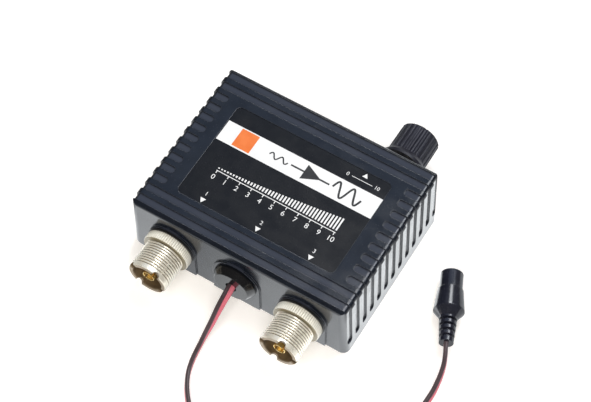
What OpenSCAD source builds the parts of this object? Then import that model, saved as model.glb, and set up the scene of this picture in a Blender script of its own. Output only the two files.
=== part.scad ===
// Small RF preamplifier. A moulded case with ribs that wrap over its top and sides carries
// two threaded coaxial sockets on the front, a gain knob at the back, and a twin lead that
// leaves between the sockets and ends in an inline power jack.
// Millimetres. X runs along the front panel, minus Y is the front, plus Z is up.
// The origin is the middle of the underside.

/* [Case] */
// Width across the top
case_top_w = 91; // [88:0.5:98]
// Outward lean of each side wall from top to bottom
case_draft = 1.2; // [0.8:0.1:2]
// Depth from the front panel to the back wall
case_d = 68.7; // [66.5:0.1:74]
// Height of the case
case_h = 30.7; // [29.5:0.1:35]
// Rounding of the top edges
edge_r = 2.2; // [1.6:0.1:2.6]
// Rounding of the upright corners
corner_r = 3; // [2:0.1:3.6]
// Thickness of the walls
wall = 2.6; // [2.2:0.1:3]
// Thickness of the roof
roof = 2.4; // [2.2:0.1:3]
// Thickness of the bottom cover
floor_t = 2; // [1.8:0.1:2.6]

/* [Ribs] */
// Number of grooves from front to back
groove_count = 13; // [11:2:15]
// Width of one groove
groove_w = 2.9; // [2.4:0.1:3.2]
// Depth of the grooves
groove_depth = 0.6; // [0.5:0.05:1]
// Length of the short grooves across the top
groove_l = 7.2; // [5:0.1:8]
// Corner rounding of the inner ends
groove_end_r = 1.1; // [0.8:0.1:1.15]
// Height of the lower groove ends above the underside
groove_foot = 5.4; // [3:0.2:9]
// Solid edge beyond the first and last groove
end_rib = 1.7; // [1.4:0.1:2.4]
// Grooves at each end that cross the whole top
long_grooves = 2; // [1:1:2]

/* [Label] */
// Space between the label and the short grooves
label_side = 5.05; // [3:0.05:8]
// Space between the label and the front and back edges
label_end = 12.85; // [12:0.05:16]
// Distance of the label towards the front
label_shift = 0.7; // [0:0.1:1]
// Corner rounding of the label
label_r = 2; // [1:0.1:4]
// Thickness of the label
label_t = 0.3; // [0.2:0.05:0.4]

/* [Sockets] */
// Distance from the top edge of a side wall to the socket axis
socket_inset = 17.5; // [16:0.1:19]
// Height of the sockets and the gain control above the underside
socket_z = 14.05; // [13.5:0.05:14.5]
// Outside diameter of the socket thread
thread_d = 15.875; // [15:0.025:16.5]
// Distance from the front panel to the socket mouth
socket_reach = 17; // [15.5:0.1:19]
// Wall of the socket barrel at its mouth
shell_wall = 1.74; // [1.4:0.02:2.1]
// Wall of the ring nut outside the thread
ring_wall = 1.66; // [1.2:0.02:1.9]
// Length of the ring nut
ring_l = 3.6; // [2.6:0.1:5]
// Rim of the black washer beyond the ring nut
washer_rim = 0.3; // [0.1:0.05:0.5]
// Thickness of the black washer
washer_t = 0.7; // [0.5:0.1:1.2]
// Bore of the centre contact
contact_bore_d = 4.04; // [3.9:0.02:4.2]
// Wall of the centre contact
contact_wall = 0.48; // [0.4:0.02:0.7]
// Diameter of the round notches in the mouth rim
notch_d = 2.8; // [1.8:0.1:3.2]
// Margin of the raised arched pads around the black washers
pad_gap = 0.1; // [0:0.05:0.3]
// Height of the raised arched pads on the front panel
pad_t = 0.7; // [0.4:0.1:1]

/* [Cord bushing] */
// Diameter of the bushing head
bushing_d = 17.6; // [16:0.1:18.6]
// Height of the bushing head above its pad
bushing_h = 3.3; // [2.8:0.1:4.6]
// Margin around the flat face of the bushing head
bushing_shoulder = 1.7; // [1.2:0.1:2.2]

/* [Gain control] */
// Distance from the top edge of the side wall to the gain control axis
knob_inset = 18.1; // [16:0.1:20]
// Distance from the back wall to the underside of the knob
knob_gap = 4.6; // [4.2:0.1:6]
// Rim of the knob skirt beyond the grip
skirt_rim = 1.2; // [0.6:0.1:2]
// Thickness of the knob skirt
skirt_t = 3; // [2:0.1:4]
// Diameter of the grip where it meets the skirt
grip_d = 16; // [14.8:0.1:16.6]
// Length of the grip
grip_l = 12.1; // [11:0.1:15]
// Number of flutes around the grip
flute_count = 24; // [16:1:28]
// Diameter of the control shaft
shaft_d = 6; // [5.8:0.02:6.04]

/* [Power lead] */
// Thickness of one strand of the twin lead
strand_d = 1.7; // [1.4:0.1:1.8]
// Diameter of the jack at its mouth
jack_front_d = 8.7; // [8.2:0.1:9.4]
// Length of the straight front of the jack
jack_front_l = 7.6; // [6.8:0.1:9]
// Diameter at the wide end of the jack
jack_rear_d = 11.7; // [11:0.1:13]
// Length of the flared body of the jack
jack_cone_l = 9; // [8:0.1:12]
// Length of the strain relief
relief_l = 13.5; // [12:0.1:16]

/* [Hidden] */
$fn = 48;

// Overcut that lets one cut pass fully through a face
over = 1;
// Side clearance of a fixed piece in its hole
fit_gap = 0.05;
// Side clearance of the turning shaft in its bushing
run_gap = 0.03;
// Clearance between the turning wiper and the cup around it
turn_gap = 0.5;
// Clearance of the bottom cover in the rim of the case
rim_gap = 0.15;

// Case outline
half_top = case_top_w / 2;
half_base = half_top + case_draft;
lean = atan(case_draft / case_h);
front_y = -case_d / 2;
back_y = case_d / 2;
front_in = front_y + wall;
back_in = back_y - wall;
ceiling_z = case_h - roof - groove_depth / 2;

// Half width of the outside at a height, less an inset square to the side wall
function half_w(z, inset = 0) = half_top + case_draft * (1 - z / case_h) - inset / cos(lean);

// Grooves
groove_side = (groove_count - 1) / 2;
groove_reach = half_top - groove_l;
groove_pitch = (case_d - 2 * end_rib - groove_w) / (groove_count - 1);

// Label recess
label_y = -label_shift;
label_w = 2 * (groove_reach - label_side);
label_d = case_d - 2 * label_end;
label_lip = 0.2;
label_sink = label_t + label_lip;

// Bottom cover screws
boss_side = 5.4;
boss_end = 8.8;
boss_x = half_top - boss_side;
boss_y = case_d / 2 - boss_end;
boss_r = 2.9;
boss_web = 4;
boss_web_t = 2;
screw_r = 1.05;
screw_head_r = 2.4;
screw_head_h = 1.1;
screw_seat = 0.8;
screw_sink = floor_t - screw_seat;
screw_l = 9;

// Circuit board
board_side = 9.5;
board_end = 13.35;
board_w = case_top_w - 2 * board_side;
board_d = case_d - 2 * board_end;
board_y = -1;
board_t = 1.6;
board_z = 18;
post_inset = 3;
post_x = board_w / 2 - post_inset;
post_y = board_d / 2 - post_inset;
post_r = 2.6;
board_screw_r = 0.95;
board_head_r = 1.9;
board_head_h = 1.3;
board_screw_l = 6;

// Parts under the circuit board
chip_w = 6;
chip_d = 5;
chip_h = 2;
choke_r = 5;
choke_bore_r = 2.6;
choke_h = 4;
capacitor_r = 3.2;
capacitor_h = 8;
small_w = 3.2;
small_d = 1.7;
small_capacitor_h = 1.2;
small_resistor_h = 0.7;

// Sockets, measured along Y
socket_x = half_top - socket_inset;
thread_r = thread_d / 2;
mouth_d = thread_d - 2 * shell_wall;
ring_d = thread_d + 2 * ring_wall;
washer_d = ring_d + 2 * washer_rim;
contact_d = contact_bore_d + 2 * contact_wall;
pad_r = washer_d / 2 + pad_gap;
pad_y = front_y - pad_t;
mouth_y = front_y - socket_reach;
thread_pitch = 25.4 / 24;
// Inside its nut the thread is drawn at the radius where the two threads meet
meet_r = thread_r - 0.325 * thread_pitch;
ring_y = pad_y - washer_t - ring_l;
antenna_notch_turn = -56;
receiver_notch_turn = -76;
lug_t = 0.5;
flange_rim = 2.06;
flange_r = thread_r + flange_rim;
flange_t = 2;
flange_y = front_in + lug_t;
shell_back_y = flange_y + flange_t;
insulator_depth = 9.5;
insulator_y = mouth_y + insulator_depth;
insulator_lip = 0.7;
insulator_lip_r = mouth_d / 2 + insulator_lip;
insulator_lip_t = 1;
contact_depth = 1;
contact_y = mouth_y + contact_depth;
contact_bore_l = 8;
stem_r = 1.6;
stem_l = 4;
stem_y = shell_back_y + insulator_lip_t + stem_l;
lug_arm_w = 3;
lug_arm_gap = 2;
lug_arm_x = socket_x - flange_r - lug_arm_gap - lug_arm_w / 2;
lug_bridge = lug_arm_w + 6;
lug_bridge_h = 2.5;
lug_lap = 2;
link_r = 0.6;
link_inset = 3;
link_y = board_y - board_d / 2 + link_inset;

// Cord bushing
bushing_neck_r = 6.4;
bushing_lip_r = 7.2;
bushing_lip_t = 1.5;
bushing_rim = 0.7;
cord_seat_r = 2.3;
cord_seat_depth = 1.5;
cord_y = pad_y - bushing_h + cord_seat_depth;

// Gain control, measured along Y
knob_x = half_top - knob_inset;
skirt_d = grip_d + 2 * skirt_rim;
shaft_r = shaft_d / 2;
pot_r = 8;
pot_wall = 1;
pot_l = 8;
pot_plate = 1.2;
pot_neck_wall = 0.6;
pot_neck_r = shaft_r + pot_neck_wall;
knob_clear = 0.4;
pot_neck_end = back_y + knob_gap - knob_clear;
pot_collar_rim = 1;
pot_collar_r = pot_neck_r + pot_collar_rim;
pot_collar_t = 0.6;
wiper_t = 1.4;
wiper_y = back_in - pot_plate - pot_collar_t - turn_gap - wiper_t;
tenon_r = shaft_r - 1;
nut_wall = 1.4;
nut_w = 2 * (pot_neck_r + nut_wall);
nut_t = 2.2;
pot_washer_rim = 1;
pot_washer_r = nut_w / 2 + pot_washer_rim;
pot_washer_t = 0.5;
knob_y = back_y + knob_gap;
grip_y = knob_y + skirt_t;
knob_end = grip_y + grip_l;
grip_taper = 0.1;
grip_chamfer = 0.4;
mark_turn = -75;
mark_r = 0.9;
mark_out = 0.1;
grip_tip_r = grip_d / 2 - grip_taper;
knob_top = 4.7;
shaft_depth = skirt_t + grip_l - knob_top;
flute_r = 0.7;
flute_out = 0.25;
tab_y = back_in - pot_l / 2;
tab_l = 5;
tab_pitch = 3;
tab_end = knob_x - pot_r - tab_l;
tab_t = 0.5;
tab_w = 1.2;
tab_hole = 1;
wire_r = 0.4;
wire_gap = 1.4;
wire_inset = 3;
wire_y = board_y + board_d / 2 - wire_inset;

// Inline jack, measured from its mouth
jack_x = 64.3;
jack_y = 13.2;
jack_turn = 24.1;
jack_front_r = jack_front_d / 2;
jack_rear_r = jack_rear_d / 2;
jack_step = 0.5;
jack_cone_r = jack_front_r + jack_step;
jack_bevel = 0.4;
jack_body_l = jack_front_l + jack_cone_l;
jack_l = jack_body_l + relief_l;
jack_tilt = atan((jack_rear_r - jack_front_r) / jack_body_l);
jack_z = jack_front_r * cos(jack_tilt);
jack_shoulder_l = 3;
relief_r = 3.4;
relief_tip_r = 2.7;
relief_cuts = 4;
relief_cut_w = 1;
relief_core_r = 2.2;
sleeve_r = 3.2;
sleeve_bore_r = 2.8;
sleeve_l = 9;
jack_pin_r = 1.05;
jack_pin_l = 8.2;
jack_axis = [-sin(jack_turn) * cos(jack_tilt), cos(jack_turn) * cos(jack_tilt), -sin(jack_tilt)];
jack_tail = [jack_x, jack_y, jack_z] - jack_l * jack_axis;

// Twin lead: its route from the bushing over the table to the tail of the jack
lead_route = [
  [0, cord_y, socket_z],
  [0.2, -41.5, 13.6],
  [0.2, -46, 12],
  [0.2, -52, 8.6],
  [0.1, -59, 4.9],
  [0.6, -66, 2.5],
  [2.7, -72.5, 1.8],
  [7.5, -79.5, 1.8],
  [16, -87.5, 1.8],
  [28, -94, 1.8],
  [42, -95, 1.8],
  [56, -89, 1.8],
  [68, -77, 1.8],
  [76, -62, 1.8],
  [80, -48, 1.8],
  [81, -36, 1.9],
  [81, -29, 2.8],
  [79.8, -21.5, 5.6],
  jack_tail
];
lead_steps = 3;
lead_last = len(lead_route) - 1;
lead_rings = lead_last * lead_steps;
// The lead leaves the bushing flat and stands on edge from this share of its length on
lead_upright_at = 0.22;

function route_at(i) = lead_route[min(max(i, 0), lead_last)];
function route_dir(i) =
  i == 0 ? [0, -6, 0] :
  i == lead_last ? 6 * jack_axis :
  (route_at(i + 1) - route_at(i - 1)) / 2;
function curve(a, b, da, db, t) =
  a * (2 * t * t * t - 3 * t * t + 1) + da * (t * t * t - 2 * t * t + t)
  + b * (3 * t * t - 2 * t * t * t) + db * (t * t * t - t * t);
function curve_dir(a, b, da, db, t) =
  a * (6 * t * t - 6 * t) + da * (3 * t * t - 4 * t + 1)
  + b * (6 * t - 6 * t * t) + db * (3 * t * t - 2 * t);
function leg(k) = min(floor(k / lead_steps), lead_last - 1);
function share(k) = k / lead_steps - leg(k);
function lead_at(k) =
  curve(route_at(leg(k)), route_at(leg(k) + 1), route_dir(leg(k)), route_dir(leg(k) + 1), share(k));
function lead_dir(k) =
  curve_dir(route_at(leg(k)), route_at(leg(k) + 1), route_dir(leg(k)), route_dir(leg(k) + 1), share(k));
function unit(v) = v / norm(v);
function lead_side(k) = unit(cross(lead_dir(k), [0, 0, 1]));
function lead_up(k) = cross(lead_side(k), unit(lead_dir(k)));
function lead_roll(k) =
  90 * min(k / lead_rings / lead_upright_at, 1)
  + 30 * sin(180 * max((k / lead_rings - 0.3) / 0.7, 0));
lead_section = strand_d * [
  [1, 0.2], [0.7, 0.5], [-0.7, 0.5], [-1, 0.2],
  [-1, -0.2], [-0.7, -0.5], [0.7, -0.5], [1, -0.2]
];
lead_sides = len(lead_section);
function lead_vertex(k, j) =
  lead_at(k)
  + (lead_section[j][0] * cos(lead_roll(k)) - lead_section[j][1] * sin(lead_roll(k))) * lead_side(k)
  + (lead_section[j][0] * sin(lead_roll(k)) + lead_section[j][1] * cos(lead_roll(k))) * lead_up(k);

// Turns a shape drawn along Z so that it points along Y
module along_y(x, y, z) {
  translate([x, y, z])
    rotate([-90, 0, 0])
      children();
}

// Places a shape drawn down from the jack mouth
module at_jack() {
  translate([jack_x, jack_y, jack_z])
    rotate([0, 0, jack_turn])
      rotate([-90 - jack_tilt, 0, 0])
        children();
}

// Cross outline of the case, inset from its outside
module cross_outline(inset) {
  top_z = case_h - inset;
  r = edge_r - inset;
  round_z = top_z - r;
  round_x = half_w(round_z, edge_r);
  polygon([
    [-half_w(-over, inset), -over], [half_w(-over, inset), -over],
    [round_x + r * cos(lean), round_z + r * sin(lean)], [round_x, top_z],
    [-round_x, top_z], [-round_x - r * cos(lean), round_z + r * sin(lean)]
  ]);
  translate([round_x, round_z])
    circle(r = r);
  translate([-round_x, round_z])
    circle(r = r);
}

// Length outline of the case
module length_outline() {
  translate([front_y, 0])
    square([case_d, case_h - edge_r]);
  translate([front_y + edge_r, 0])
    square([case_d - 2 * edge_r, case_h]);
  translate([front_y + edge_r, case_h - edge_r])
    circle(r = edge_r);
  translate([back_y - edge_r, case_h - edge_r])
    circle(r = edge_r);
}

// Solid that lies a given depth below the outside of the case, seen across the width
module cross_block(inset, length) {
  translate([0, length / 2, 0])
    rotate([90, 0, 0])
      linear_extrude(length)
        cross_outline(inset);
}

// Cut that rounds one upright corner along the leaning side wall
module corner_cut() {
  translate([half_base, back_y, 0])
    rotate([0, -lean, 0])
      translate([-corner_r, -corner_r, -2 * over])
        difference() {
          cube([corner_r + over, corner_r + over, case_h + 4 * over]);
          translate([0, 0, -over])
            cylinder(r = corner_r, h = case_h + 6 * over);
        }
}

// Outside of the case without its grooves
module case_block() {
  difference() {
    intersection() {
      cross_block(0, case_d + 2 * over);
      translate([-half_base - over, 0, 0])
        rotate([90, 0, 90])
          linear_extrude(2 * half_base + 2 * over)
            length_outline();
    }
    for (sx = [0, 1])
      for (sy = [0, 1])
        mirror([sx, 0, 0])
          mirror([0, sy, 0])
            corner_cut();
  }
}

// Plan of a short groove, from its rounded inner end out past the side wall
module short_slot() {
  flat = groove_w / 2 - groove_end_r;
  translate([groove_reach + groove_end_r, -groove_w / 2])
    square([half_base - groove_reach, groove_w]);
  translate([groove_reach, -flat])
    square([2 * groove_end_r, 2 * flat]);
  translate([groove_reach + groove_end_r, flat])
    circle(r = groove_end_r);
  translate([groove_reach + groove_end_r, -flat])
    circle(r = groove_end_r);
}

// Side outline of one groove with its rounded lower end
module side_slot() {
  translate([-groove_w / 2, groove_foot + groove_w / 2])
    square([groove_w, case_h]);
  translate([0, groove_foot + groove_w / 2])
    circle(d = groove_w);
}

// One groove over the right-hand edge
module edge_groove() {
  difference() {
    intersection() {
      linear_extrude(case_h + over)
        short_slot();
      translate([groove_reach - over, 0, 0])
        rotate([90, 0, 90])
          linear_extrude(half_base)
            side_slot();
    }
    cross_block(groove_depth, groove_w + 2 * over);
  }
}

// One groove that crosses the whole top
module cross_groove() {
  difference() {
    translate([-half_base - over, 0, 0])
      rotate([90, 0, 90])
        linear_extrude(2 * half_base + 2 * over)
          side_slot();
    cross_block(groove_depth, groove_w + 2 * over);
  }
}

// Rounded plate shape of the label
module label_shape(h) {
  x = label_w / 2 - label_r;
  y = label_d / 2 - label_r;
  linear_extrude(h) {
    square([2 * x, label_d], center = true);
    square([label_w, 2 * y], center = true);
    for (sx = [-1, 1])
      for (sy = [-1, 1])
        translate([sx * x, sy * y])
          circle(r = label_r);
  }
}

// Hollow inside the case, open underneath
module case_hollow() {
  along_y(0, front_in, 0)
    linear_extrude(case_d - 2 * wall)
      polygon([
        [-half_w(-over, wall + groove_depth / 2), over], [half_w(-over, wall + groove_depth / 2), over],
        [half_w(ceiling_z, wall + groove_depth / 2), -ceiling_z],
        [-half_w(ceiling_z, wall + groove_depth / 2), -ceiling_z]
      ]);
}

// Screw pillars that hang from the roof of the case
module pillars() {
  for (sx = [-1, 1])
    for (sy = [-1, 1]) {
      translate([sx * boss_x, sy * boss_y, floor_t])
        cylinder(r = boss_r, h = ceiling_z - floor_t + 0.5);
      translate([sx * (boss_x + boss_web / 2) - boss_web / 2, sy * boss_y - boss_web_t / 2, floor_t])
        cube([boss_web, boss_web_t, ceiling_z - floor_t + 0.5]);
      translate([sx * post_x, board_y + sy * post_y, board_z + board_t])
        cylinder(r = post_r, h = ceiling_z - board_z - board_t + 0.5);
    }
}

// Raised arched pad around a front opening, down to the lower edge of the case
module pad(x) {
  along_y(x, pad_y, socket_z)
    cylinder(r = pad_r, h = pad_t + wall / 2);
  translate([x - pad_r, pad_y, 0])
    cube([2 * pad_r, pad_t + wall / 2, socket_z]);
}

module top_cover() {
  color([0.06, 0.065, 0.08])
    difference() {
      union() {
        difference() {
          case_block();
          case_hollow();
        }
        pillars();
        for (x = [-socket_x, 0, socket_x])
          pad(x);
      }
      for (k = [-groove_side : groove_side])
        translate([0, k * groove_pitch, 0])
          if (abs(k) > groove_side - long_grooves) {
            cross_groove();
          } else {
            edge_groove();
            mirror([1, 0, 0])
              edge_groove();
          }
      translate([0, label_y, case_h - label_sink])
        label_shape(label_sink + over);
      for (x = [-socket_x, socket_x])
        along_y(x, pad_y - over, socket_z)
          cylinder(r = thread_r + fit_gap, h = pad_t + wall + 2 * over);
      along_y(0, pad_y - over, socket_z)
        cylinder(r = bushing_neck_r + fit_gap, h = pad_t + wall + 2 * over);
      along_y(knob_x, back_in - over, socket_z)
        cylinder(r = pot_neck_r + fit_gap, h = wall + 2 * over);
      for (sx = [-1, 1])
        for (sy = [-1, 1]) {
          translate([sx * boss_x, sy * boss_y, floor_t - over])
            cylinder(r = screw_r + fit_gap, h = screw_l + over);
          translate([sx * post_x, board_y + sy * post_y, board_z])
            cylinder(r = board_screw_r + fit_gap, h = board_screw_l + board_t);
        }
    }
}

module bottom_cover() {
  x = half_w(floor_t, wall + groove_depth / 2) - rim_gap;
  y = back_in - rim_gap;
  color([0.07, 0.075, 0.085])
    difference() {
      translate([-x, -y, 0])
        cube([2 * x, 2 * y, floor_t]);
      for (sx = [-1, 1])
        for (sy = [-1, 1])
          translate([sx * boss_x, sy * boss_y, 0]) {
            translate([0, 0, -over])
              cylinder(r = screw_r + 0.3, h = floor_t + 2 * over);
            translate([0, 0, -over])
              cylinder(r = screw_head_r + 0.2, h = screw_sink + over);
          }
    }
}

module cover_screws() {
  color([0.2, 0.2, 0.21])
    for (sx = [-1, 1])
      for (sy = [-1, 1])
        translate([sx * boss_x, sy * boss_y, 0])
          difference() {
            union() {
              translate([0, 0, screw_sink - screw_head_h])
                cylinder(r = screw_head_r, h = screw_head_h);
              translate([0, 0, screw_sink - 0.2])
                cylinder(r = screw_r, h = screw_l);
            }
            translate([-screw_head_r, -0.3, screw_sink - screw_head_h - over])
              cube([2 * screw_head_r, 0.6, 0.5 + over]);
          }
}

module label_plate() {
  color([0.03, 0.03, 0.035])
    translate([0, label_y, case_h - label_sink])
      label_shape(label_t);
}

// Threaded socket barrel with its inner flange and notched mouth rim
module shell(x, notch_turn) {
  color([0.78, 0.75, 0.68])
    difference() {
      union() {
        along_y(x, mouth_y, socket_z)
          cylinder(r = thread_r, h = ring_y - mouth_y);
        along_y(x, ring_y - over, socket_z)
          cylinder(r = meet_r, h = flange_y - ring_y + over + flange_t / 2);
        along_y(x, flange_y, socket_z)
          cylinder(r = flange_r, h = flange_t);
      }
      along_y(x, mouth_y - over, socket_z)
        cylinder(d = mouth_d, h = shell_back_y - mouth_y + 2 * over);
      for (a = [notch_turn, notch_turn + 90])
        translate([x, mouth_y, socket_z])
          rotate([0, a, 0])
            cylinder(d = notch_d, h = 2 * flange_r, center = true);
    }
}

module insulator(x) {
  color([0.35, 0.22, 0.1])
    difference() {
      union() {
        along_y(x, insulator_y, socket_z)
          cylinder(r = mouth_d / 2 - fit_gap, h = shell_back_y - insulator_y + insulator_lip_t / 2);
        along_y(x, shell_back_y, socket_z)
          cylinder(r = insulator_lip_r, h = insulator_lip_t);
      }
      along_y(x, insulator_y - over, socket_z)
        cylinder(r = stem_r + fit_gap, h = stem_y - insulator_y + 2 * over);
    }
}

module contact(x) {
  color([0.8, 0.62, 0.28])
    difference() {
      union() {
        along_y(x, contact_y, socket_z)
          cylinder(d = contact_d, h = insulator_y - contact_y);
        along_y(x, insulator_y - 0.2, socket_z)
          cylinder(r = stem_r, h = stem_y - insulator_y + 0.2);
      }
      along_y(x, contact_y - over, socket_z)
        cylinder(d = contact_bore_d, h = contact_bore_l + over);
    }
}

module ring_nut(x) {
  bevel = 0.4;
  r = ring_d / 2;
  color([0.8, 0.77, 0.7])
    along_y(x, ring_y, socket_z)
      rotate_extrude()
        polygon([
          [meet_r + fit_gap, 0], [r - bevel, 0], [r, bevel],
          [r, ring_l - bevel], [r - bevel, ring_l], [meet_r + fit_gap, ring_l]
        ]);
}

module washer(x) {
  color([0.03, 0.03, 0.03])
    along_y(x, pad_y - washer_t, socket_z)
      difference() {
        cylinder(d = washer_d, h = washer_t);
        translate([0, 0, -over])
          cylinder(r = thread_r + fit_gap, h = washer_t + 2 * over);
      }
}

// Earth tag between the socket flange and the wall, with an arm to the circuit board
module lug(side) {
  bridge_x = side > 0 ? lug_arm_x - lug_arm_w / 2 : lug_arm_w / 2 - lug_arm_x - lug_bridge;
  color([0.75, 0.73, 0.68])
    difference() {
      union() {
        along_y(side * socket_x, front_in, socket_z)
          cylinder(r = flange_r, h = lug_t);
        translate([bridge_x, front_in, board_z - lug_bridge_h])
          cube([lug_bridge, lug_t, lug_bridge_h]);
        translate([side * lug_arm_x - lug_arm_w / 2, front_in, board_z - lug_t])
          cube([lug_arm_w, board_y - board_d / 2 + lug_lap - front_in, lug_t]);
      }
      along_y(side * socket_x, front_in - over, socket_z)
        cylinder(r = thread_r + fit_gap, h = lug_t + 2 * over);
    }
}

module antenna_shell() {
  shell(-socket_x, antenna_notch_turn);
}

module antenna_insulator() {
  insulator(-socket_x);
}

module antenna_contact() {
  contact(-socket_x);
}

module antenna_ring() {
  ring_nut(-socket_x);
}

module antenna_washer() {
  washer(-socket_x);
}

module antenna_lug() {
  lug(-1);
}

module receiver_shell() {
  shell(socket_x, receiver_notch_turn);
}

module receiver_insulator() {
  insulator(socket_x);
}

module receiver_contact() {
  contact(socket_x);
}

module receiver_ring() {
  ring_nut(socket_x);
}

module receiver_washer() {
  washer(socket_x);
}

module receiver_lug() {
  lug(1);
}

module cord_bushing() {
  r = bushing_d / 2;
  face_r = r - bushing_shoulder;
  rise = bushing_h - bushing_rim;
  behind = (r * r - face_r * face_r - rise * rise) / (2 * rise);
  dome_r = sqrt(r * r + behind * behind);
  color([0.03, 0.03, 0.032])
    difference() {
      union() {
        intersection() {
          along_y(0, pad_y - bushing_h, socket_z)
            cylinder(r = r, h = bushing_h);
          translate([0, pad_y - bushing_rim + behind, socket_z])
            sphere(r = dome_r);
        }
        along_y(0, pad_y - bushing_rim / 2, socket_z)
          cylinder(r = bushing_neck_r, h = pad_t + wall + bushing_rim / 2 + bushing_lip_t / 2);
        along_y(0, front_in, socket_z)
          cylinder(r = bushing_lip_r, h = bushing_lip_t);
      }
      along_y(0, pad_y - bushing_h - over, socket_z)
        cylinder(r = cord_seat_r, h = cord_seat_depth + over);
    }
}

module circuit_board() {
  color([0.1, 0.3, 0.16])
    difference() {
      translate([-board_w / 2, board_y - board_d / 2, board_z])
        cube([board_w, board_d, board_t]);
      for (sx = [-1, 1])
        for (sy = [-1, 1])
          translate([sx * post_x, board_y + sy * post_y, board_z - over])
            cylinder(r = board_screw_r + 0.2, h = board_t + 2 * over);
    }
}

module board_screws() {
  color([0.7, 0.7, 0.7])
    for (sx = [-1, 1])
      for (sy = [-1, 1])
        translate([sx * post_x, board_y + sy * post_y, board_z]) {
          translate([0, 0, -board_head_h])
            cylinder(r = board_head_r, h = board_head_h);
          translate([0, 0, -0.2])
            cylinder(r = board_screw_r, h = board_screw_l + 0.2);
        }
}

module amplifier_chip() {
  color([0.05, 0.05, 0.055])
    translate([-chip_w / 2, board_y - chip_d, board_z - chip_h])
      cube([chip_w, chip_d, chip_h]);
}

module choke_coil() {
  color([0.4, 0.2, 0.1])
    translate([board_w / 5, board_y - board_d / 14, board_z - choke_h])
      difference() {
        cylinder(r = choke_r, h = choke_h);
        translate([0, 0, -over])
          cylinder(r = choke_bore_r, h = choke_h + 2 * over);
      }
}

module supply_capacitor() {
  color([0.1, 0.12, 0.25])
    translate([-board_w / 5, board_y + board_d / 6, board_z - capacitor_h])
      cylinder(r = capacitor_r, h = capacitor_h);
}

module small_capacitors() {
  color([0.6, 0.45, 0.3])
    for (i = [-5, -2, 2])
      for (side = [-1, 1])
        translate([i * board_w / 15 - small_w / 2, board_y + side * board_d / 4, board_z - small_capacitor_h])
          cube([small_w, small_d, small_capacitor_h]);
}

module small_resistors() {
  color([0.1, 0.1, 0.1])
    for (i = [-4, -1, 5])
      for (side = [-1, 1])
        translate([i * board_w / 15 - small_w / 2, board_y + side * board_d / 3, board_z - small_resistor_h])
          cube([small_w, small_d, small_resistor_h]);
}

// Wire from a starting face along Y, then up to the underside of the board
module board_wire(x, y, z, end_y, r) {
  run = abs(end_y - y);
  along_y(x, min(y, end_y), z)
    cylinder(r = r, h = run);
  translate([x, end_y, z])
    sphere(r = r);
  translate([x, end_y, z])
    cylinder(r = r, h = board_z - z);
}

module antenna_link() {
  color([0.8, 0.78, 0.72])
    board_wire(-socket_x, stem_y, socket_z, link_y, link_r);
}

module receiver_link() {
  color([0.8, 0.78, 0.72])
    board_wire(socket_x, stem_y, socket_z, link_y, link_r);
}

module supply_leads() {
  color([0.6, 0.1, 0.1])
    for (side = [-1, 1])
      board_wire(side * strand_d, front_in + bushing_lip_t, socket_z, link_y, strand_d / 2);
}

module control_leads() {
  color([0.3, 0.3, 0.5])
    for (i = [-1, 0, 1])
      board_wire(tab_end + tab_hole, tab_y - tab_t / 2, socket_z + i * tab_pitch, wire_y + i * wire_gap, wire_r);
}

module pot_body() {
  color([0.6, 0.58, 0.52])
    difference() {
      along_y(knob_x, back_in - pot_l, socket_z)
        cylinder(r = pot_r, h = pot_l);
      along_y(knob_x, back_in - pot_l + pot_wall, socket_z)
        cylinder(r = pot_r - pot_wall, h = pot_l - pot_wall - pot_plate);
      along_y(knob_x, back_in - pot_plate - over, socket_z)
        cylinder(r = pot_neck_r + fit_gap, h = pot_plate + 2 * over);
    }
}

module pot_bushing() {
  color([0.72, 0.7, 0.64])
    difference() {
      union() {
        along_y(knob_x, back_in - pot_plate - pot_collar_t / 2, socket_z)
          cylinder(r = pot_neck_r, h = pot_neck_end - back_in + pot_plate + pot_collar_t / 2);
        along_y(knob_x, back_in - pot_plate - pot_collar_t, socket_z)
          cylinder(r = pot_collar_r, h = pot_collar_t);
      }
      along_y(knob_x, back_in - pot_l, socket_z)
        cylinder(r = shaft_r + run_gap, h = 2 * pot_l + pot_neck_end - back_in);
    }
}

module pot_washer() {
  color([0.75, 0.75, 0.75])
    along_y(knob_x, back_y, socket_z)
      difference() {
        cylinder(r = pot_washer_r, h = pot_washer_t);
        translate([0, 0, -over])
          cylinder(r = pot_neck_r + fit_gap, h = pot_washer_t + 2 * over);
      }
}

module pot_nut() {
  color([0.78, 0.76, 0.7])
    along_y(knob_x, back_y + pot_washer_t, socket_z)
      difference() {
        cylinder(d = nut_w / cos(30), h = nut_t, $fn = 6);
        translate([0, 0, -over])
          cylinder(r = pot_neck_r + fit_gap, h = nut_t + 2 * over);
      }
}

module pot_terminals() {
  color([0.78, 0.76, 0.7])
    for (i = [-1, 0, 1])
      difference() {
        translate([tab_end, tab_y - tab_t / 2, socket_z + i * tab_pitch - tab_w / 2])
          cube([tab_l + pot_r / 2, tab_t, tab_w]);
        along_y(knob_x, tab_y - over, socket_z)
          cylinder(r = pot_r, h = 2 * over);
      }
}

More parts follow.
